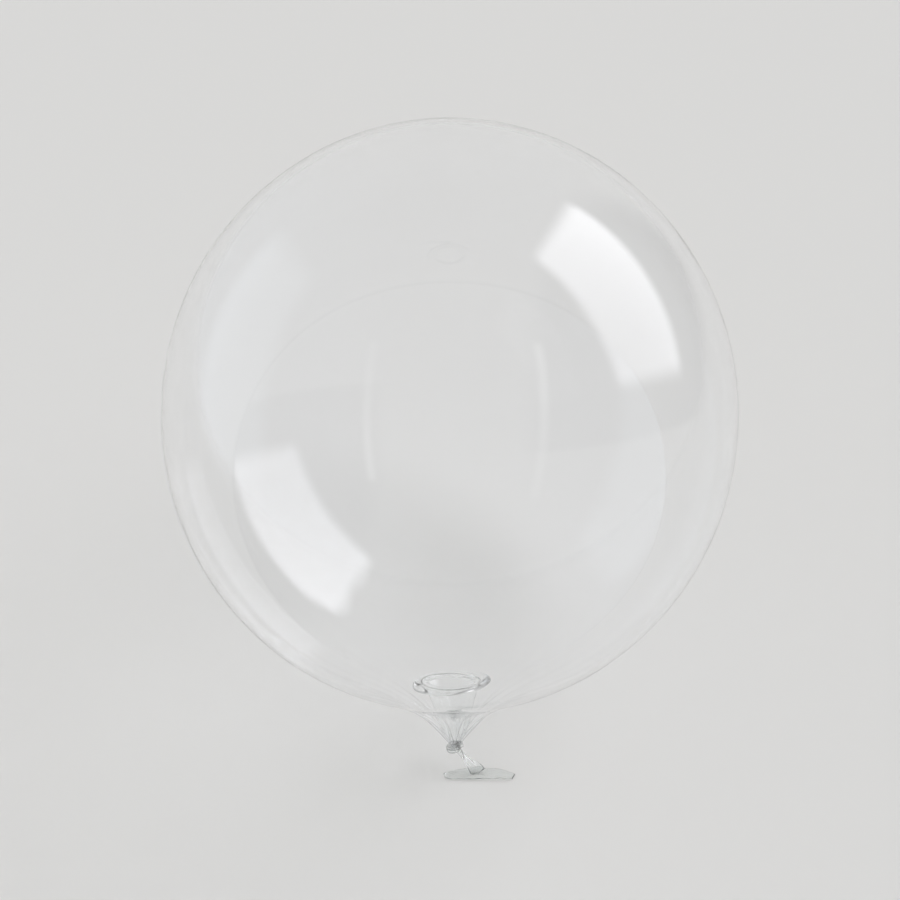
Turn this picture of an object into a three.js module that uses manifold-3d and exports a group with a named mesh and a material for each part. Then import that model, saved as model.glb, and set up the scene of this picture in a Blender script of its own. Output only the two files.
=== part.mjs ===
// A clear bubble balloon, tied in its own neck and lying where it has come to rest.
//
// Units are millimetres and +Z is up. The balloon is first shaped upright, with its axis along Z,
// its crown at the top and its centre at the origin. It is then leaned over, because a loose
// balloon rolls until its tail touches the ground. The origin of the finished part is the middle
// of the small flat spot that the bubble rests on, and the neck points down towards -Y.

import * as THREE from 'three';
import { mergeVertices } from 'three/addons/utils/BufferGeometryUtils.js';
import Module from 'manifold-3d';

// Driving dimensions. The bubble is a little longer than it is wide.
const BUBBLE_RADIUS = 240;
const BUBBLE_HALF_LENGTH = 247.5;
const FLAT_SPOT_RADIUS = 33;

// The film draws in to a pleated funnel, slightly to one side of the bubble's axis. Drops are
// measured down from the bubble's centre: the shoulder and throat steer the funnel's curve.
const MOUTH_RADIUS = 78;
const SHOULDER_RADIUS = 39;
const SHOULDER_DROP = 250;
const THROAT_RADIUS = 22.5;
const THROAT_DROP = 259;
const NECK_SHIFT = 4;
const NECK_SHIFT_START = 198;
const PLEAT_COUNT = 8;
const PLEAT_DEPTH = 0.16;

// The knot is two turns of the neck's film round itself.
const KNOT_DROP = 288;
const KNOT_RADIUS = 7.6;
const KNOT_WRAP_RADIUS = 2.2;
const KNOT_WRAP_SPREAD = 1.3;
const KNOT_WRAP_TILT = THREE.MathUtils.degToRad(17);

// Below the knot the neck is a twisted band, which spreads into a flat tail on the ground.
const TAIL_REACH = 312;
const TAIL_CENTRE = 25;
const TAIL_WIDTH = 61.5;
const TAIL_DEPTH = 12.5;
const TAIL_THICKNESS = 2.2;
const BAND_WIDTH = 9.5;
const BAND_THICKNESS = 4.2;
const BAND_TWIST = THREE.MathUtils.degToRad(170);

// How finely the round forms are divided.
const SIDES = 64;
const BUBBLE_STEPS = 31;
const FUNNEL_STEPS = 10;
const WRAP_SIDES = 8;
const WRAP_STEPS = 24;
const BAND_STEPS = 10;
const CURVE_STEPS = 5;

const wasm = await Module();
wasm.setup();

// ---------------------------------------------------------------------------------------------
// Solids

function toSolid(geometry) {
  geometry.deleteAttribute('normal');
  geometry.deleteAttribute('uv');
  const merged = mergeVertices(geometry, 1e-4);
  const solid = new wasm.Manifold(new wasm.Mesh({
    numProp: 3,
    vertProperties: merged.attributes.position.array,
    triVerts: new Uint32Array(merged.index.array),
  }));
  if (solid.volume() <= 0) throw new Error('a solid is inside out');
  return solid;
}

function toGeometry(solid) {
  const mesh = solid.getMesh();
  const geometry = new THREE.BufferGeometry();
  geometry.setAttribute('position', new THREE.BufferAttribute(mesh.vertProperties, 3));
  geometry.setIndex(new THREE.BufferAttribute(mesh.triVerts, 1));
  geometry.computeVertexNormals();
  return geometry;
}

function movePoints(geometry, move) {
  const position = geometry.attributes.position;
  const point = new THREE.Vector3();
  for (let i = 0; i < position.count; i += 1) {
    point.fromBufferAttribute(position, i);
    move(point);
    position.setXYZ(i, point.x, point.y, point.z);
  }
  return geometry;
}

// ---------------------------------------------------------------------------------------------
// How the balloon lies

// The film gives way under the bubble, so its centre comes down by the height of a shallow cap.
const CAP_HEIGHT = FLAT_SPOT_RADIUS ** 2 / (2 * BUBBLE_HALF_LENGTH);

// The lean at which the tail's end is as low as the flat spot. The bubble's reach straight down at
// a lean with cosine u is the root of (L^2 - R^2) u^2 + R^2, and the tail's is TAIL_REACH times u.
function restingLean() {
  const a = TAIL_REACH ** 2 - BUBBLE_HALF_LENGTH ** 2 + BUBBLE_RADIUS ** 2;
  const halfB = TAIL_REACH * CAP_HEIGHT;
  const c = CAP_HEIGHT ** 2 - BUBBLE_RADIUS ** 2;
  return Math.acos((Math.sqrt(halfB ** 2 - a * c) - halfB) / a);
}

const LEAN = restingLean();
const REACH_DOWN = Math.hypot(BUBBLE_HALF_LENGTH * Math.cos(LEAN), BUBBLE_RADIUS * Math.sin(LEAN));
const CENTRE_HEIGHT = REACH_DOWN - CAP_HEIGHT;
const LENGTHENING = BUBBLE_HALF_LENGTH ** 2 - BUBBLE_RADIUS ** 2;
const CENTRE_BACK = LENGTHENING * Math.sin(LEAN) * Math.cos(LEAN) / REACH_DOWN;

// Takes the upright balloon to where it lies.
const STANCE = new THREE.Matrix4().makeRotationX(-LEAN);
STANCE.setPosition(0, CENTRE_BACK, CENTRE_HEIGHT);

// ---------------------------------------------------------------------------------------------
// The bubble and its funnel, upright

// Radius and height of the bubble's film at an angle down from the crown.
function bubblePoint(angle) {
  return new THREE.Vector2(
    BUBBLE_RADIUS * Math.sin(angle),
    BUBBLE_HALF_LENGTH * Math.cos(angle),
  );
}

// The funnel's mouth, where its film leaves the bubble's curve.
const MOUTH_ANGLE = Math.PI - Math.asin(MOUTH_RADIUS / BUBBLE_RADIUS);
const MOUTH_DROP = -bubblePoint(MOUTH_ANGLE).y;

// The half outline: down the bubble to the mouth, along the funnel and in to the axis at the knot.
function bubbleOutline() {
  const outline = [];
  for (let i = 0; i <= BUBBLE_STEPS; i += 1) {
    outline.push(bubblePoint(MOUTH_ANGLE * i / BUBBLE_STEPS));
  }
  outline[0].x = 0;
  const funnel = new THREE.CubicBezierCurve(
    bubblePoint(MOUTH_ANGLE),
    new THREE.Vector2(SHOULDER_RADIUS, -SHOULDER_DROP),
    new THREE.Vector2(THROAT_RADIUS, -THROAT_DROP),
    new THREE.Vector2(KNOT_WRAP_RADIUS, -KNOT_DROP),
  );
  outline.push(...funnel.getPoints(FUNNEL_STEPS).slice(1));
  outline.push(new THREE.Vector2(0, -KNOT_DROP));
  return outline;
}

// The film gathers into pleats towards the knot, and the neck stands a little to one side.
function gatherNeck(point) {
  const gathered = THREE.MathUtils.smoothstep(-point.z, MOUTH_DROP, KNOT_DROP);
  const turn = Math.atan2(point.y, point.x);
  const pleat = 1 + PLEAT_DEPTH * gathered * Math.cos(PLEAT_COUNT * turn);
  point.x *= pleat;
  point.y *= pleat;
  point.x += NECK_SHIFT * THREE.MathUtils.smoothstep(-point.z, NECK_SHIFT_START, KNOT_DROP);
}

function makeBubble() {
  const outline = bubbleOutline().reverse();
  const geometry = new THREE.LatheGeometry(outline, SIDES);
  geometry.rotateX(Math.PI / 2);
  return toSolid(movePoints(geometry, gatherNeck)).transform(STANCE.elements);
}

// ---------------------------------------------------------------------------------------------
// The knot: the neck's film wrapped twice round itself, upright

function makeWrap(side) {
  const radius = KNOT_RADIUS - KNOT_WRAP_RADIUS;
  const geometry = new THREE.TorusGeometry(radius, KNOT_WRAP_RADIUS, WRAP_SIDES, WRAP_STEPS);
  geometry.rotateY(-KNOT_WRAP_TILT);
  geometry.translate(NECK_SHIFT, 0, -KNOT_DROP + side * KNOT_WRAP_SPREAD);
  return toSolid(geometry).transform(STANCE.elements);
}

function makeKnotCore() {
  const radius = KNOT_RADIUS - KNOT_WRAP_RADIUS;
  const geometry = new THREE.SphereGeometry(radius, WRAP_STEPS / 2, WRAP_SIDES);
  geometry.translate(NECK_SHIFT, 0, -KNOT_DROP);
  return toSolid(geometry).transform(STANCE.elements);
}

// ---------------------------------------------------------------------------------------------
// The tail: a flat fan on the ground with a rounded end and a square-cut end

// The middle line of the leaning balloon meets the ground here.
const TAIL_BACK = CENTRE_BACK - TAIL_REACH * Math.sin(LEAN);

function tailOutline() {
  const half = TAIL_WIDTH / 2;
  const back = TAIL_DEPTH / 2;
  const shape = new THREE.Shape();
  shape.moveTo(-0.84 * half, -back);
  shape.lineTo(0.92 * half, -back);
  shape.lineTo(half, -0.2 * back);
  shape.lineTo(0.58 * half, 0.6 * back);
  shape.lineTo(0.2 * half, 0.75 * back);
  shape.lineTo(-0.02 * half, back);
  shape.lineTo(-0.36 * half, 0.7 * back);
  shape.quadraticCurveTo(-0.7 * half, 0.1 * back, -0.86 * half, 0.2 * back);
  shape.quadraticCurveTo(-1.12 * half, 0.1 * back, -0.84 * half, -back);
  return shape;
}

function makeTail() {
  const geometry = new THREE.ExtrudeGeometry(tailOutline(), {
    depth: TAIL_THICKNESS,
    bevelEnabled: false,
    curveSegments: CURVE_STEPS,
  });
  geometry.translate(TAIL_CENTRE, TAIL_BACK, 0);
  return toSolid(geometry);
}

// ---------------------------------------------------------------------------------------------
// The band of twisted neck from the knot down to the tail

function bandSection() {
  const straight = (BAND_WIDTH - BAND_THICKNESS) / 2;
  const round = BAND_THICKNESS / 2;
  const shape = new THREE.Shape();
  shape.moveTo(-straight, -round);
  shape.lineTo(straight, -round);
  shape.absarc(straight, 0, round, -Math.PI / 2, Math.PI / 2, false);
  shape.lineTo(-straight, round);
  shape.absarc(-straight, 0, round, Math.PI / 2, 1.5 * Math.PI, false);
  return shape;
}

function makeBand() {
  const top = new THREE.Vector3(NECK_SHIFT, 0, -KNOT_DROP).applyMatrix4(STANCE);
  const foot = new THREE.Vector3(TAIL_CENTRE, TAIL_BACK, TAIL_THICKNESS / 2);
  const length = top.distanceTo(foot);
  const geometry = new THREE.ExtrudeGeometry(bandSection(), {
    depth: length,
    steps: BAND_STEPS,
    bevelEnabled: false,
    curveSegments: CURVE_STEPS,
  });
  const axis = new THREE.Vector3(0, 0, 1);
  movePoints(geometry, (point) => point.applyAxisAngle(axis, BAND_TWIST * point.z / length));
  const way = new THREE.Quaternion().setFromUnitVectors(axis, foot.clone().sub(top).normalize());
  geometry.applyQuaternion(way);
  geometry.translate(top.x, top.y, top.z);
  return toSolid(geometry);
}

// ---------------------------------------------------------------------------------------------
// The whole film, cut off level with the ground

function makeGround() {
  const side = 4 * BUBBLE_RADIUS;
  const geometry = new THREE.BoxGeometry(side, side, BUBBLE_RADIUS);
  geometry.translate(0, 0, -BUBBLE_RADIUS / 2);
  return toSolid(geometry);
}

function makeBalloon() {
  const joined = [makeWrap(-1), makeWrap(1), makeKnotCore(), makeBand(), makeTail()]
    .reduce((whole, piece) => whole.add(piece), makeBubble());
  return toGeometry(joined.subtract(makeGround()));
}

const clearFilm = new THREE.MeshStandardMaterial({
  color: 0xe6eaec,
  roughness: 0.05,
  metalness: 0,
  transparent: true,
  opacity: 0.3,
});

const balloon = new THREE.Mesh(makeBalloon(), clearFilm);
balloon.name = 'bubble_balloon';

const part = new THREE.Group();
part.add(balloon);

export default part;
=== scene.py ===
"""A clear bubble balloon lying on a pale floor, its knotted neck down towards the camera.

Every length is in metres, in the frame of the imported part: +Z is up and the origin is the middle of
the flat spot that the bubble rests on. The film is shaped upright, with its crown up and the
bubble's centre at the origin, and then leaned over to where the loose balloon has come to rest.
"""

import math

import bmesh
import bpy
from mathutils import Matrix, Vector, noise


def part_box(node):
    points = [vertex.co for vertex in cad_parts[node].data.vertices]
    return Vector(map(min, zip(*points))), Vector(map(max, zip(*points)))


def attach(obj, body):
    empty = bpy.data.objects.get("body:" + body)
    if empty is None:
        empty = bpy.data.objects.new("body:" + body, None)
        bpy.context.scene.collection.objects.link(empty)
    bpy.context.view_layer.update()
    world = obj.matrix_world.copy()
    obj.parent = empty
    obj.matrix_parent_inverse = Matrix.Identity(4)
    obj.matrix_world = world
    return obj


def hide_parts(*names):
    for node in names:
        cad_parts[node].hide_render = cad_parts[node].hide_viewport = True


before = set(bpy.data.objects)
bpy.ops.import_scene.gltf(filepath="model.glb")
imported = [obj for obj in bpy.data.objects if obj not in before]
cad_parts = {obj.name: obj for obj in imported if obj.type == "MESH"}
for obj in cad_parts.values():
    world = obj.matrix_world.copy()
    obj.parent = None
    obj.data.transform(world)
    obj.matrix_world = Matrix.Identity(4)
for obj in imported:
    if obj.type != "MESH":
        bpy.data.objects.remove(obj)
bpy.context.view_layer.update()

NODE = "bubble_balloon"
BODY = "root"

box_low, box_high = (Vector(corner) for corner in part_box(NODE))

# ---------------------------------------------------------------------------------------------
# Sizes. They are the part's own, scaled to the width of its box.

UNIT = (box_high.x - box_low.x) / 480.0  # one millimetre of the nominal balloon

RADIUS = 240 * UNIT
HALF_LENGTH = 247.5 * UNIT
FLAT_SPOT_RADIUS = 33 * UNIT
TAIL_REACH = 312 * UNIT

MOUTH_RADIUS = 78 * UNIT
SHOULDER_RADIUS = 36 * UNIT
THROAT_RADIUS = 22.5 * UNIT
THROAT_DROP = 259 * UNIT
NECK_SHIFT = 4 * UNIT
NECK_SHIFT_START = 198 * UNIT
KNOT_DROP = 288 * UNIT
KNOT_RADIUS = 7.6 * UNIT
KNOT_WRAP_RADIUS = 2.2 * UNIT
KNOT_WRAP_TILT = math.radians(17)

TAIL_CENTRE = 25 * UNIT
TAIL_WIDTH = 61.5 * UNIT
TAIL_DEPTH = 12.5 * UNIT
TAIL_THICKNESS = 2.2 * UNIT
BAND_WIDTH = 9.5 * UNIT
BAND_THICKNESS = 4.2 * UNIT
BAND_TWIST = math.radians(170)

FILM = 0.3 * UNIT

# ---------------------------------------------------------------------------------------------
# How the balloon lies, as in the part: its tail's end is as low as its flat spot.

CAP_HEIGHT = FLAT_SPOT_RADIUS**2 / (2 * HALF_LENGTH)


def resting_lean():
    """The lean at which both the flat spot and the end of the tail are on the ground."""
    a = TAIL_REACH**2 - HALF_LENGTH**2 + RADIUS**2
    half_b = TAIL_REACH * CAP_HEIGHT
    c = CAP_HEIGHT**2 - RADIUS**2
    return math.acos((math.sqrt(half_b**2 - a * c) - half_b) / a)


LEAN = resting_lean()
REACH_DOWN = math.hypot(HALF_LENGTH * math.cos(LEAN), RADIUS * math.sin(LEAN))
CENTRE_BACK = (HALF_LENGTH**2 - RADIUS**2) * math.sin(LEAN) * math.cos(LEAN) / REACH_DOWN
CENTRE = Vector((0, CENTRE_BACK, REACH_DOWN - CAP_HEIGHT))
STANCE = Matrix.Translation(CENTRE) @ Matrix.Rotation(-LEAN, 4, "X")
TAIL_BACK = CENTRE_BACK - TAIL_REACH * math.sin(LEAN)


def smoothstep(value, low, high):
    share = min(max((value - low) / (high - low), 0.0), 1.0)
    return share * share * (3 - 2 * share)


def bezier(points, t):
    """A point on the curve that the control points steer, at t from 0 to 1."""
    while len(points) > 1:
        points = [a.lerp(b, t) for a, b in zip(points, points[1:])]
    return points[0]


# ---------------------------------------------------------------------------------------------
# Meshes

def finish_piece(name, bm, material):
    """Turns a bmesh into a smooth piece that rides on the balloon and stands for its solid."""
    mesh = bpy.data.meshes.new(name)
    bmesh.ops.recalc_face_normals(bm, faces=bm.faces)
    bm.to_mesh(mesh)
    bm.free()
    mesh.shade_smooth()
    piece = bpy.data.objects.new(name, mesh)
    bpy.context.scene.collection.objects.link(piece)
    piece.data.materials.append(material)
    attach(piece, BODY)
    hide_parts(NODE)
    return piece


def add_grid(bm, rows, closed_rows=False):
    """Joins rows of points into quads. Each row closes on itself; the rows may close too."""
    grid = [[bm.verts.new(point) for point in row] for row in rows]
    pairs = list(zip(grid, grid[1:]))
    if closed_rows:
        pairs.append((grid[-1], grid[0]))
    for upper, lower in pairs:
        for i in range(len(upper)):
            j = (i + 1) % len(upper)
            bm.faces.new((upper[i], lower[i], lower[j], upper[j]))
    return grid


def cap(bm, ring, point):
    """Closes a ring of vertices with a fan to one point."""
    tip = bm.verts.new(point)
    for i in range(len(ring)):
        j = (i + 1) % len(ring)
        bm.faces.new((tip, ring[i], ring[j]))


def add_inner_wall(bm, rim, thickness):
    """Copies an open film inwards by its thickness and joins the two at the rim."""
    bmesh.ops.recalc_face_normals(bm, faces=bm.faces)
    bm.normal_update()
    outer = list(bm.verts)
    faces = [list(face.verts) for face in bm.faces]
    inner = {vert: bm.verts.new(vert.co - vert.normal * thickness) for vert in outer}
    for corners in faces:
        bm.faces.new([inner[vert] for vert in reversed(corners)])
    for ring in rim:
        for i in range(len(ring)):
            j = (i + 1) % len(ring)
            bm.faces.new((ring[i], ring[j], inner[ring[j]], inner[ring[i]]))


# ---------------------------------------------------------------------------------------------
# Materials: clear plastic by plain values, with faint marks in its gloss and surface

PLASTIC_IOR = 1.45
SMEAR_SCALE = 9  # faint smears in the gloss, about 11 cm apart
SMEAR_DETAIL = 4
SMEAR_RANGE = (0.35, 0.75)
RIPPLE_DETAIL = 2


def clear_plastic(name, colour, roughness, bump_size, bump_height, bump_strength):
    """A see-through plastic. Its colour, clearness and refraction are plain values."""
    material = bpy.data.materials.new(name)
    material.use_nodes = True
    nodes = material.node_tree.nodes
    links = material.node_tree.links
    shader = nodes["Principled BSDF"]
    shader.inputs["Base Color"].default_value = (*colour, 1)
    shader.inputs["Transmission Weight"].default_value = 1
    shader.inputs["IOR"].default_value = PLASTIC_IOR

    place = nodes.new("ShaderNodeTexCoord")
    smears = nodes.new("ShaderNodeTexNoise")
    smears.inputs["Scale"].default_value = SMEAR_SCALE
    smears.inputs["Detail"].default_value = SMEAR_DETAIL
    gloss = nodes.new("ShaderNodeMapRange")
    gloss.inputs["From Min"].default_value = SMEAR_RANGE[0]
    gloss.inputs["From Max"].default_value = SMEAR_RANGE[1]
    gloss.inputs["To Min"].default_value = roughness[0]
    gloss.inputs["To Max"].default_value = roughness[1]
    links.new(place.outputs["Object"], smears.inputs["Vector"])
    links.new(smears.outputs["Fac"], gloss.inputs["Value"])
    links.new(gloss.outputs["Result"], shader.inputs["Roughness"])

    ripples = nodes.new("ShaderNodeTexNoise")
    ripples.inputs["Scale"].default_value = 1 / bump_size
    ripples.inputs["Detail"].default_value = RIPPLE_DETAIL
    bump = nodes.new("ShaderNodeBump")
    bump.inputs["Strength"].default_value = bump_strength
    bump.inputs["Distance"].default_value = bump_height
    links.new(place.outputs["Object"], ripples.inputs["Vector"])
    links.new(ripples.outputs["Fac"], bump.inputs["Height"])
    links.new(bump.outputs["Normal"], shader.inputs["Normal"])
    return material


thin_film = clear_plastic("thin_film", (0.995, 0.997, 1.0), (0.0, 0.03), 0.06, 0.0004, 0.15)
thick_film = clear_plastic("thick_film", (0.985, 0.992, 0.99), (0.0, 0.05), 0.006, 0.0003, 0.3)

# ---------------------------------------------------------------------------------------------
# The bubble and its funnel

SIDES = 224
BUBBLE_STEPS = 112
FUNNEL_STEPS = 36

MOUTH_ANGLE = math.pi - math.asin(MOUTH_RADIUS / RADIUS)
MOUTH_DROP = -HALF_LENGTH * math.cos(MOUTH_ANGLE)

# Gathers of the funnel: how many there are, how deep at the knot, and where they start.
MAIN_GATHERS = (8, 0.16, 0.0)
SECOND_GATHERS = (19, 0.07, 1.3)
FINE_GATHERS = (31, 0.03, 4.0)

# Tension lines run up the bubble from the funnel. The film also sways a little all over.
TENSION_START = 0.55 * HALF_LENGTH
TENSION_HEIGHT = 0.12 * UNIT
TENSION_LINES = ((23, 0.7), (37, 2.1))
SWAY_HEIGHT = 0.35 * UNIT
SWAY_SIZE = 0.55 * RADIUS
GROUND_EDGE = 0.5 * UNIT


def bubble_point(angle):
    """Radius and drop below the centre of the bubble's film, at an angle down from the crown."""
    return Vector((RADIUS * math.sin(angle), -HALF_LENGTH * math.cos(angle)))


def film_outline():
    """Radius and drop of the film from just beside the crown to the knot."""
    outline = [bubble_point(MOUTH_ANGLE * i / BUBBLE_STEPS) for i in range(1, BUBBLE_STEPS + 1)]
    mouth = outline[-1]
    slope = HALF_LENGTH / RADIUS * math.tan(math.pi - MOUTH_ANGLE)
    shoulder_drop = mouth.y + slope * (MOUTH_RADIUS - SHOULDER_RADIUS)
    steer = [
        mouth,
        Vector((SHOULDER_RADIUS, shoulder_drop)),
        Vector((THROAT_RADIUS, THROAT_DROP)),
        Vector((KNOT_WRAP_RADIUS, KNOT_DROP)),
    ]
    return outline + [bezier(steer, i / FUNNEL_STEPS) for i in range(1, FUNNEL_STEPS + 1)]


def gathers(turn, share):
    """How far out the gathered film stands, as a factor: eight main pleats and finer ones."""
    reach = 1
    for (count, depth, start), power in (
        (MAIN_GATHERS, 1),
        (SECOND_GATHERS, 2),
        (FINE_GATHERS, 1),
    ):
        reach += depth * share**power * math.cos(count * turn + start)
    return reach


def neck_offset(drop):
    return NECK_SHIFT * smoothstep(drop, NECK_SHIFT_START, KNOT_DROP)


def upright(turn, radius, drop):
    """A point of the neck or bubble, with the balloon upright."""
    x = radius * math.cos(turn) + neck_offset(drop)
    return Vector((x, radius * math.sin(turn), -drop))


def rest_on_ground(point):
    """Lifts what would be under the ground to lie on it, with a soft edge round the flat spot."""
    point.z = 0.5 * (point.z + math.hypot(point.z, GROUND_EDGE))
    return point


def film_point(turn, radius, drop):
    share = smoothstep(drop, MOUTH_DROP, KNOT_DROP)
    pull = smoothstep(drop, TENSION_START, MOUTH_DROP) * (1 - share)
    waves = sum(math.sin(count * turn + start) for count, start in TENSION_LINES)
    tension = TENSION_HEIGHT * pull * waves
    point = upright(turn, radius * gathers(turn, share) + tension, drop)
    sway = SWAY_HEIGHT * noise.noise(point / SWAY_SIZE) * (1 - share)
    return rest_on_ground(STANCE @ (point * (1 + sway / RADIUS)))


def make_bubble():
    bm = bmesh.new()
    turns = [2 * math.pi * i / SIDES for i in range(SIDES)]
    rows = [[film_point(turn, point.x, point.y) for turn in turns] for point in film_outline()]
    grid = add_grid(bm, rows)
    cap(bm, grid[0], film_point(0, 0, -HALF_LENGTH))
    add_inner_wall(bm, [grid[-1]], FILM)
    return finish_piece("bubble_film", bm, thin_film)


# ---------------------------------------------------------------------------------------------
# The thick ring where the neck begins, and the neck's film tucked inside the funnel

RING_DROP = 231 * UNIT
RING_RADIUS = 26.3 * UNIT
RING_HALF_WIDTH = 6.6 * UNIT
RING_HALF_HEIGHT = 2.7 * UNIT
RING_TILT = math.radians(2.2)
RING_ROLL = math.radians(12)
RING_CREASE = 0.05
RING_SIDES = 144
RING_STEPS = 28


def ring_point(turn, around):
    """The ring's section is a flattened roll whose width and lie vary a little on the way round."""
    swell = 1 + 0.10 * math.sin(2 * turn + 0.6) + 0.05 * math.sin(5 * turn + 2.0)
    crease = 1 + RING_CREASE * math.cos(3 * around + 2 * turn)
    out = RING_HALF_WIDTH * swell * crease * math.cos(around)
    up = RING_HALF_HEIGHT * crease * math.sin(around)
    roll = RING_ROLL * math.sin(turn + 1.1)
    radius = RING_RADIUS + out * math.cos(roll) - up * math.sin(roll)
    rise = out * math.sin(roll) + up * math.cos(roll)
    lean = radius * math.cos(turn) * math.tan(RING_TILT)
    return STANCE @ upright(turn, radius, RING_DROP - rise - lean)


def make_ring():
    bm = bmesh.new()
    rows = []
    for i in range(RING_SIDES):
        turn = 2 * math.pi * i / RING_SIDES
        rows.append([ring_point(turn, 2 * math.pi * k / RING_STEPS) for k in range(RING_STEPS)])
    add_grid(bm, rows, closed_rows=True)
    return finish_piece("neck_ring", bm, thick_film)


SLEEVE_SIDES = 128
SLEEVE_STEPS = 48

# Radius and drop of the points that steer the sleeve, in nominal millimetres
SLEEVE_STEER = [(25.5, 232), (17.5, 243), (14, 262), (9, 283), (2.5, 284)]


def make_sleeve():
    """The film tucked in below the ring: a cup with fine pleats, rounded at its foot."""
    bm = bmesh.new()
    steer = [Vector(point) * UNIT for point in SLEEVE_STEER]
    rows = []
    for i in range(SLEEVE_STEPS + 1):
        point = bezier(steer, i / SLEEVE_STEPS)
        share = smoothstep(point.y, RING_DROP, KNOT_DROP)
        row = []
        for k in range(SLEEVE_SIDES):
            turn = 2 * math.pi * k / SLEEVE_SIDES
            pleat = 1 + 0.10 * share * math.cos(7 * turn + 0.9) + 0.04 * share * math.cos(16 * turn)
            row.append(STANCE @ upright(turn, point.x * pleat, point.y))
        rows.append(row)
    grid = add_grid(bm, rows)
    add_inner_wall(bm, [grid[0], grid[-1]], FILM)
    return finish_piece("neck_sleeve", bm, thick_film)


# ---------------------------------------------------------------------------------------------
# The knot and the twisted band: ropes of gathered film

ROPE_FILM = 0.5 * UNIT
LOWEST = 0.7 * UNIT  # keeps the foot of the band above the ground


def rope(bm, path, section):
    """A hollow rope of film: section(share) gives the offsets across the path round one ring."""
    steps = len(path) - 1
    side = None
    rows = []
    for i, point in enumerate(path):
        ahead = (path[min(i + 1, steps)] - path[max(i - 1, 0)]).normalized()
        if side is None:
            side = ahead.orthogonal().normalized()
        side = (side - ahead * side.dot(ahead)).normalized()
        other = ahead.cross(side)
        ring = [point + side * a + other * b for a, b in section(i / steps)]
        rows.append([Vector((spot.x, spot.y, max(spot.z, LOWEST))) for spot in ring])
    grid = add_grid(bm, rows)
    add_inner_wall(bm, [grid[0], grid[-1]], ROPE_FILM)


def gathered_section(width, thickness, lobes, depth, turn, count=36):
    """A rounded strip with grooves along it, turned about its middle."""
    section = []
    for k in range(count):
        around = 2 * math.pi * k / count
        groove = 1 + depth * math.cos(lobes * around)
        a = width / 2 * groove * math.cos(around)
        b = thickness / 2 * groove * math.sin(around)
        section.append((
            a * math.cos(turn) - b * math.sin(turn),
            a * math.sin(turn) + b * math.cos(turn),
        ))
    return section


KNOT_TURNS = 2.4
KNOT_STEPS = 150
KNOT_START = math.radians(200)
KNOT_RISE = 2.3 * KNOT_WRAP_RADIUS
KNOT_GROOVES = (6, 0.10)
KNOT_FLATNESS = 0.86


def make_knot():
    """A strand of film wound round the neck, its two ends tucked in."""
    bm = bmesh.new()
    centre = Vector((NECK_SHIFT, 0, -KNOT_DROP))
    tilt = Matrix.Rotation(-KNOT_WRAP_TILT, 4, "Y")
    loop = KNOT_RADIUS - KNOT_WRAP_RADIUS
    path = []
    for i in range(KNOT_STEPS + 1):
        share = i / KNOT_STEPS
        turn = 2 * math.pi * KNOT_TURNS * share + KNOT_START
        reach = loop * (0.55 + 0.45 * smoothstep(min(share, 1 - share), 0, 0.12))
        reach *= 1 + 0.06 * math.sin(3 * turn)
        rise = (0.5 - share) * KNOT_RISE
        point = Vector((reach * math.cos(turn), reach * math.sin(turn), rise))
        path.append(STANCE @ (centre + tilt @ point))

    def strand(share):
        size = 2 * KNOT_WRAP_RADIUS * (0.7 + 0.3 * smoothstep(min(share, 1 - share), 0, 0.1))
        return gathered_section(size, KNOT_FLATNESS * size, *KNOT_GROOVES, 9 * share)

    rope(bm, path, strand)
    return finish_piece("knot", bm, thick_film)


BAND_STEPS = 48
BAND_START = 0.5
BAND_GROOVES = (4, 0.16)


def make_band():
    """The twisted neck between the knot and the tail, which spreads towards its foot."""
    bm = bmesh.new()
    top = STANCE @ Vector((NECK_SHIFT, 0, -KNOT_DROP))
    foot = Vector((TAIL_CENTRE, TAIL_BACK, TAIL_THICKNESS / 2))
    path = [top.lerp(foot, i / BAND_STEPS) for i in range(BAND_STEPS + 1)]

    def strip(share):
        spread = smoothstep(share, 0.6, 1.0)
        width = BAND_WIDTH * (0.9 + 0.25 * spread)
        thickness = BAND_THICKNESS * (1 - 0.5 * spread)
        turn = BAND_TWIST * share + BAND_START
        return gathered_section(width, thickness, *BAND_GROOVES, turn, 64)

    rope(bm, path, strip)
    return finish_piece("twisted_neck", bm, thick_film)


# ---------------------------------------------------------------------------------------------
# The tail: the neck's open end, flattened into a fan with a rounded and a square-cut end

TAIL_ACROSS = 72
TAIL_ROWS = 26
HALF_WIDTH = TAIL_WIDTH / 2
HALF_DEPTH = TAIL_DEPTH / 2

TAIL_FILM = 0.22 * UNIT

# The edge nearest the bubble and the edge of the open end, as shares of half the width and depth.
FAR_EDGE = [
    (-1.0, -0.15),
    (-0.86, 0.2),
    (-0.36, 0.7),
    (-0.02, 1.0),
    (0.2, 0.75),
    (0.58, 0.6),
    (1.0, -0.2),
]
OPEN_EDGE = [
    (-0.99, -0.3),
    (-0.95, -0.75),
    (-0.8, -0.97),
    (-0.3, -1.0),
    (0.2, -1.0),
    (0.6, -1.0),
    (0.92, -1.0),
]


def along(edge, share):
    """A point on an edge's smooth curve through its corners."""
    at = share * (len(edge) - 1)
    i = min(int(at), len(edge) - 2)
    t = at - i
    points = [Vector(edge[min(max(k, 0), len(edge) - 1)]) for k in range(i - 1, i + 3)]
    before, start, end, after = points
    bend = (end - before) * t + (2 * before - 5 * start + 4 * end - after) * t**2
    bend += (3 * start - before - 3 * end + after) * t**3
    return start + 0.5 * bend


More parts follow.
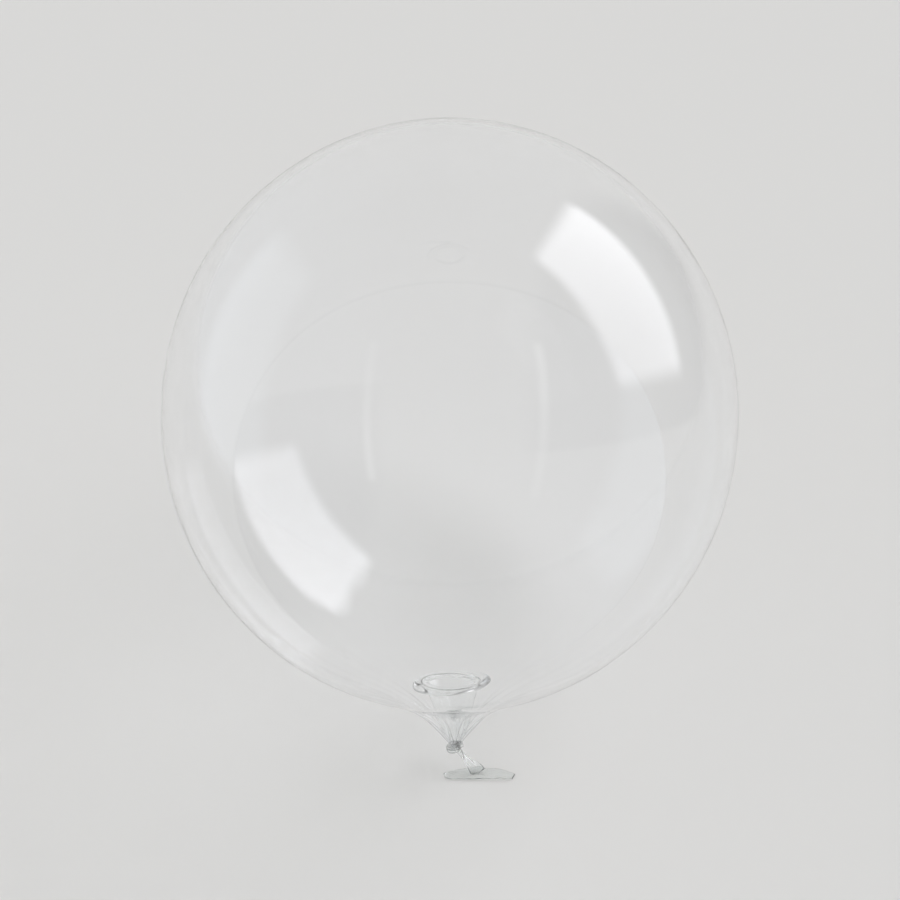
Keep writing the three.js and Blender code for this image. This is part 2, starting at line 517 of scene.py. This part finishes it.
def tail_height(across, down, upper):
    """Height of a layer of the flattened end. The upper one stands off the lower in soft folds."""
    edge = min(across, 1 - across)
    fold = 0.5 + 0.5 * math.cos(2 * math.pi * (5.5 * across + 0.35 * down) + 0.8)
    curl = (1 - smoothstep(across, 0.02, 0.25)) * smoothstep(down, 0.0, 0.6)
    gap = (0.55 + 1.0 * fold * down + 1.2 * curl) * smoothstep(edge, -0.02, 0.10)
    lift = 0.45 + 0.5 * curl + 0.25 * math.sin(7 * across + 2 * down)
    return (lift + gap if upper else lift) * UNIT


def make_tail():
    bm = bmesh.new()
    rows = []
    for i in range(TAIL_ROWS + 1):
        down = i / TAIL_ROWS
        row = []
        # Out along the upper layer and back along the lower one
        sweep = list(range(TAIL_ACROSS)) + list(range(TAIL_ACROSS, 0, -1))
        for k, step in enumerate(sweep):
            across = step / TAIL_ACROSS
            flat = along(FAR_EDGE, across).lerp(along(OPEN_EDGE, across), down)
            z = tail_height(across, down, k < TAIL_ACROSS)
            x = TAIL_CENTRE + HALF_WIDTH * flat.x
            y = TAIL_BACK + HALF_DEPTH * flat.y
            row.append(Vector((x, y, z)))
        rows.append(row)
    grid = add_grid(bm, rows)
    add_inner_wall(bm, [grid[0], grid[-1]], TAIL_FILM)
    return finish_piece("flat_tail", bm, thick_film)


# ---------------------------------------------------------------------------------------------
# Camera, floor and light

ABOVE_EQUATOR = math.radians(11)  # the camera's height over the plane of the bubble's equator
VIEW_ELEVATION = ABOVE_EQUATOR + LEAN
CAMERA_DISTANCE = 9.5 * RADIUS
CAMERA_AIM = 0.118 * RADIUS  # how far below the bubble's centre it is aimed
CAMERA_SENSOR = 36
CAMERA_LENS = 109.3
CAMERA_CLIP = 50
BACK = Vector((0, -math.cos(VIEW_ELEVATION), math.sin(VIEW_ELEVATION)))
UP = Vector((0, math.sin(VIEW_ELEVATION), math.cos(VIEW_ELEVATION)))
RIGHT = Vector((1, 0, 0))


def make_camera():
    """Looks down on the balloon, a little below the bubble's centre to take in the neck."""
    data = bpy.data.cameras.new("camera")
    data.sensor_width = CAMERA_SENSOR
    data.lens = CAMERA_LENS
    data.clip_end = CAMERA_CLIP
    camera = bpy.data.objects.new("camera", data)
    bpy.context.scene.collection.objects.link(camera)
    camera.location = CENTRE + BACK * CAMERA_DISTANCE
    target = CENTRE - UP * CAMERA_AIM
    camera.rotation_euler = (target - camera.location).to_track_quat("-Z", "Y").to_euler()
    bpy.context.scene.camera = camera


def new_math(tree, operation, first, second=0.0):
    """A maths node's result. Each term is a number or another node's output."""
    node = tree.nodes.new("ShaderNodeMath")
    node.operation = operation
    for socket, term in zip(node.inputs, (first, second)):
        if isinstance(term, (int, float)):
            socket.default_value = term
        else:
            tree.links.new(term, socket)
    return node.outputs[0]


def fade(tree, value, start, end, before=0.0, after=1.0):
    """Changes softly from one number to another as the value goes from start to end."""
    node = tree.nodes.new("ShaderNodeMapRange")
    node.interpolation_type = "SMOOTHSTEP"
    limits = {"From Min": start, "From Max": end, "To Min": before, "To Max": after}
    for name, limit in limits.items():
        node.inputs[name].default_value = limit
    tree.links.new(value, node.inputs["Value"])
    return node.outputs["Result"]


FLOOR_SIZE = 1.9  # half the width
FLOOR_FADE = (0.9, 1.6)
FLOOR_DROP = 0.0004  # so that the floor and the film that lies on it aren't in one plane
FLOOR_COLOUR = (0.80, 0.792, 0.775, 1)
FLOOR_ROUGHNESS = 0.7


def make_floor():
    """A pale floor that fades into the light of the room well outside the picture."""
    bm = bmesh.new()
    bmesh.ops.create_grid(bm, x_segments=1, y_segments=1, size=FLOOR_SIZE)
    mesh = bpy.data.meshes.new("floor")
    bm.to_mesh(mesh)
    bm.free()
    floor = bpy.data.objects.new("floor", mesh)
    floor.location.z = -FLOOR_DROP
    bpy.context.scene.collection.objects.link(floor)
    material = bpy.data.materials.new("floor")
    material.use_nodes = True
    tree = material.node_tree
    shader = tree.nodes["Principled BSDF"]
    shader.inputs["Base Color"].default_value = FLOOR_COLOUR
    shader.inputs["Roughness"].default_value = FLOOR_ROUGHNESS
    shader.inputs["Specular IOR Level"].default_value = 0.0
    place = tree.nodes.new("ShaderNodeTexCoord")
    reach = tree.nodes.new("ShaderNodeVectorMath")
    reach.operation = "LENGTH"
    tree.links.new(place.outputs["Object"], reach.inputs[0])
    cover = fade(tree, reach.outputs["Value"], *FLOOR_FADE, before=1.0, after=0.0)
    tree.links.new(cover, shader.inputs["Alpha"])
    mesh.materials.append(material)


def studio_way(right, up, back):
    """A direction from the bubble, given across, up and towards the camera."""
    return (RIGHT * right + UP * up + BACK * back).normalized()


def toward(tree, way, direction):
    """How far the way that the light comes from points along a direction."""
    node = tree.nodes.new("ShaderNodeVectorMath")
    node.operation = "DOT_PRODUCT"
    tree.links.new(way, node.inputs[0])
    node.inputs[1].default_value = direction
    return node.outputs["Value"]


def soft_window(tree, way, centre, along, half_length, half_width, blur, tone=(1.0, 1.0)):
    """The light of a soft-edged rectangle, brighter or dimmer towards its far end."""
    length_axis = (along - centre * along.dot(centre)).normalized()
    width_axis = centre.cross(length_axis)
    ahead = toward(tree, way, centre)
    down = new_math(tree, "DIVIDE", toward(tree, way, length_axis), ahead)
    across = new_math(tree, "DIVIDE", toward(tree, way, width_axis), ahead)
    light = fade(tree, ahead, 0.05, 0.1)
    for value, half in ((down, half_length), (across, half_width)):
        edge = fade(tree, new_math(tree, "ABSOLUTE", value), half - blur, half + blur, 1.0, 0.0)
        light = new_math(tree, "MULTIPLY", light, edge)
    shade = fade(tree, down, -half_length, half_length, *tone)
    return new_math(tree, "MULTIPLY", light, shade)


# The light of the room: the even wall, then what each part adds to it
WALL = (0.71, 0.71, 0.70)
COOL_SIDE = (0.06, 0.08, 0.12)
DARK_SIDE = (-0.34, -0.34, -0.33)
SOFTBOX = (2.5, 2.5, 2.6)
STRIP = (0.9, 0.9, 0.9)
LEFT_WINDOW = (0.42, 0.46, 0.50)

COOL_SIDE_SPREAD = (-0.9, -0.2)
DARK_SIDE_EDGE = (0.42, 0.62)
DARK_SIDE_FOOT = (-0.10, -0.06)


def make_studio():
    """The room's soft light: an even wall, a softbox and a strip at right, a cool window at left."""
    world = bpy.data.worlds.new("studio")
    bpy.context.scene.world = world
    world.use_nodes = True
    tree = world.node_tree
    place = tree.nodes.new("ShaderNodeTexCoord")
    way = place.outputs["Generated"]

    # The dark side ends at a level line that leans as the balloon does.
    across = toward(tree, way, studio_way(1, 0, 0))
    axis = studio_way(0, math.cos(ABOVE_EQUATOR), math.sin(ABOVE_EQUATOR))
    above = toward(tree, way, axis)
    beside = fade(tree, across, *DARK_SIDE_EDGE)
    dark_side = new_math(tree, "MULTIPLY", beside, fade(tree, above, *DARK_SIDE_FOOT))
    cool_side = fade(tree, across, *COOL_SIDE_SPREAD, 1.0, 0.0)
    softbox = soft_window(
        tree,
        way,
        centre=studio_way(0.70, 0.48, 0.05),
        along=studio_way(0.58, -0.81, 0.0),
        half_length=0.46,
        half_width=0.35,
        blur=0.07,
        tone=(1.25, 0.8),
    )
    strip = soft_window(
        tree,
        way,
        centre=studio_way(0.58, -0.05, 0.80),
        along=studio_way(0, 1, 0),
        half_length=0.50,
        half_width=0.03,
        blur=0.03,
        tone=(0.3, 1.0),
    )
    left_window = soft_window(
        tree,
        way,
        centre=studio_way(-0.95, 0.25, -0.10),
        along=studio_way(0, 1, 0),
        half_length=0.55,
        half_width=0.35,
        blur=0.12,
    )
    parts = [
        (cool_side, COOL_SIDE),
        (dark_side, DARK_SIDE),
        (softbox, SOFTBOX),
        (strip, STRIP),
        (left_window, LEFT_WINDOW),
    ]
    total = None
    for share, colour in parts:
        light = tree.nodes.new("ShaderNodeVectorMath")
        light.operation = "MULTIPLY_ADD"
        tree.links.new(share, light.inputs[0])
        light.inputs[1].default_value = colour
        light.inputs[2].default_value = WALL
        if total:
            tree.links.new(total, light.inputs[2])
        total = light.outputs["Vector"]
    tree.links.new(total, tree.nodes["Background"].inputs["Color"])


def make_paths():
    """Lets light pass the many walls of film, so that none of them darkens what is behind it."""
    paths = bpy.context.scene.cycles
    paths.blur_glossy = 0.0
    paths.max_bounces = 20
    paths.transmission_bounces = 18
    paths.glossy_bounces = 8
    paths.diffuse_bounces = 2


bpy.context.scene.view_settings.view_transform = "Standard"
make_paths()
make_camera()
make_bubble()
make_ring()
make_sleeve()
make_knot()
make_band()
make_tail()
make_floor()
make_studio()
